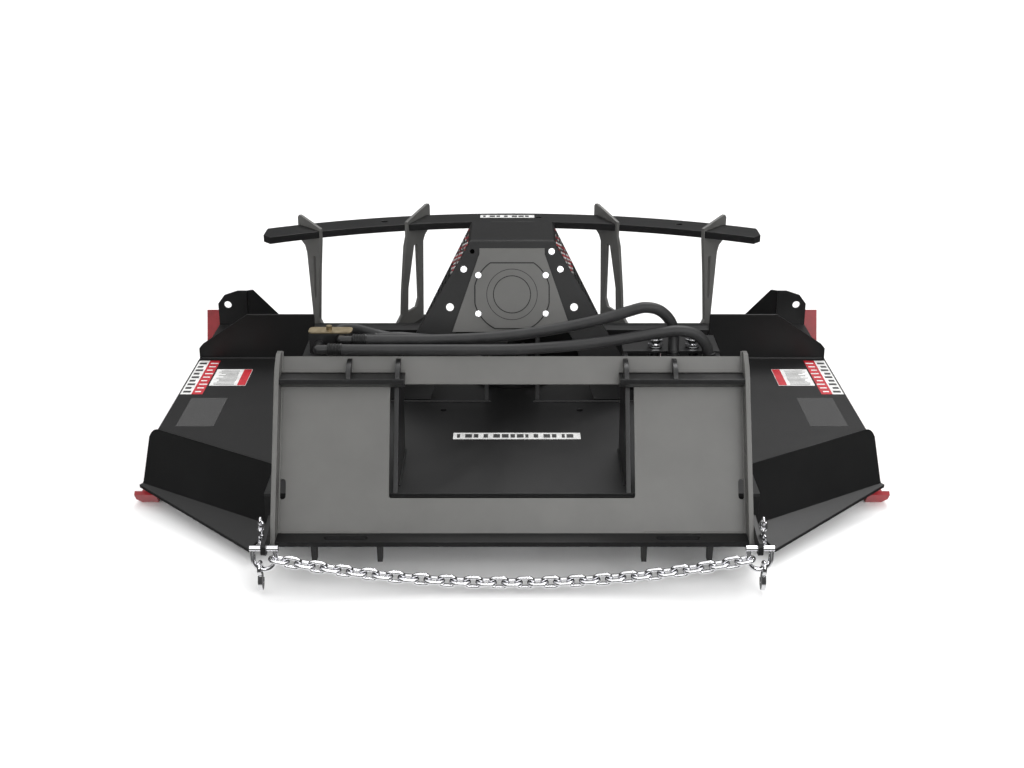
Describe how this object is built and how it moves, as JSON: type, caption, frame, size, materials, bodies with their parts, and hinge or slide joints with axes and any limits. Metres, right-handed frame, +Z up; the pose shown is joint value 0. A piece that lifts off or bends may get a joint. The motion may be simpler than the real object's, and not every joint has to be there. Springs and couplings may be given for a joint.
{
  "type": "brush mower",
  "caption": "Skid-steer rotary brush mower with a quick-attach mount, a steel deck, a louvred motor hood, an open-front push bar, swinging blades and a hanging guard chain.",
  "frame": {"origin": "on the ground under the middle of the machine's box", "axes": "+X across the machine to the right seen from the loader, +Y forward away from the loader, +Z up"},
  "size_m": [2.032, 1.808, 0.62],
  "materials": {
    "black_coat": "satin black powder coat",
    "grey_coat": "satin dark grey powder coat",
    "red_paint": "red paint",
    "zinc_bolt": "bright zinc plate",
    "bright_chrome": "bright plated steel",
    "machined_steel": "machined steel",
    "blade_steel": "rolled steel with ground edges",
    "hose_rubber": "smooth black rubber",
    "yellow_zinc": "yellow zinc plate"
  },
  "bodies": {
    "deck": {"deck_plate": "black_coat", "rear_wall": "black_coat", "side_plate_left": "black_coat", "side_plate_right": "black_coat", "rear_skirt_left": "black_coat", "rear_skirt_right": "black_coat", "shoulder_wall_left": "black_coat", "shoulder_wall_right": "black_coat", "crossmember": "black_coat", "front_apron": "black_coat", "front_ear_left": "black_coat", "front_ear_right": "black_coat", "skid_shoe_left": "red_paint", "skid_shoe_right": "red_paint", "shoe_bolts": "zinc_bolt", "mount_plate": "grey_coat", "mount_flange_left": "grey_coat", "mount_flange_right": "grey_coat", "hook_ledge_left": "black_coat", "hook_ledge_right": "black_coat", "mount_lip": "black_coat", "mount_brace_left": "black_coat", "mount_brace_right": "black_coat", "motor_hood": "black_coat", "hood_flanges": "black_coat", "guard_plate": "grey_coat", "access_cover": "grey_coat", "cover_bolts": "zinc_bolt", "hood_bolts": "zinc_bolt", "hydraulic_motor": "black_coat", "spindle_housing": "black_coat", "spindle_bearings": "machined_steel", "push_bar": "black_coat", "upright_outer_left": "grey_coat", "upright_inner_left": "grey_coat", "upright_inner_right": "grey_coat", "upright_outer_right": "grey_coat", "manifold_block": "black_coat", "manifold_cap": "yellow_zinc", "hose_fittings": "black_coat", "coupler_block": "black_coat", "couplers": "bright_chrome", "supply_hose_a": "hose_rubber", "supply_hose_b": "hose_rubber", "motor_hose_c": "hose_rubber", "motor_hose_d": "hose_rubber", "chain_anchors": "black_coat"},
    "rotor": {"spindle_shaft": "machined_steel", "rotor_hub": "black_coat", "blade_carrier": "black_coat", "stump_jumper": "black_coat", "blade_bolts": "machined_steel"},
    "blade_one": {"blade_1": "blade_steel"},
    "blade_two": {"blade_2": "blade_steel"},
    "blade_three": {"blade_3": "blade_steel"},
    "rear_chain": {"guard_chain": "bright_chrome"},
    "hook_left": {"tail_chain_left": "bright_chrome"},
    "hook_right": {"tail_chain_right": "bright_chrome"},
    "sleeve_left": {"coupler_sleeve_left": "bright_chrome"},
    "sleeve_right": {"coupler_sleeve_right": "bright_chrome"}
  },
  "joints": [
    {"name": "rotor_spin", "type": "hinge", "parent": "deck", "child": "rotor", "pos_m": [0, 0.095, 0.1], "axis": [0, 0, 1], "continuous": true},
    {"name": "blade_one_swing", "type": "hinge", "parent": "rotor", "child": "blade_one", "pos_m": [0, -0.335, 0.072], "axis": [0, 0, 1], "range_deg": [-90, 90]},
    {"name": "blade_two_swing", "type": "hinge", "parent": "rotor", "child": "blade_two", "pos_m": [0.37239, 0.31, 0.072], "axis": [0, 0, 1], "range_deg": [-90, 90]},
    {"name": "blade_three_swing", "type": "hinge", "parent": "rotor", "child": "blade_three", "pos_m": [-0.37239, 0.31, 0.072], "axis": [0, 0, 1], "range_deg": [-90, 90]},
    {"name": "chain_swing", "type": "hinge", "parent": "deck", "child": "rear_chain", "pos_m": [0, -0.885, 0.12], "axis": [1, 0, 0], "range_deg": [-45, 18]},
    {"name": "hook_left_swing", "type": "hinge", "parent": "rear_chain", "child": "hook_left", "pos_m": [-0.598, -0.885, 0.0672], "axis": [1, 0, 0], "range_deg": [-30, 30]},
    {"name": "hook_right_swing", "type": "hinge", "parent": "rear_chain", "child": "hook_right", "pos_m": [0.598, -0.885, 0.0672], "axis": [1, 0, 0], "range_deg": [-30, 30]},
    {"name": "sleeve_left_slide", "type": "slide", "parent": "deck", "child": "sleeve_left", "axis": [0, 0, -1], "range_m": [0, 0.005], "stiffness_N_per_m": 400, "springref_m": -0.003},
    {"name": "sleeve_right_slide", "type": "slide", "parent": "deck", "child": "sleeve_right", "axis": [0, 0, -1], "range_m": [0, 0.005], "stiffness_N_per_m": 400, "springref_m": -0.003}
  ]
}
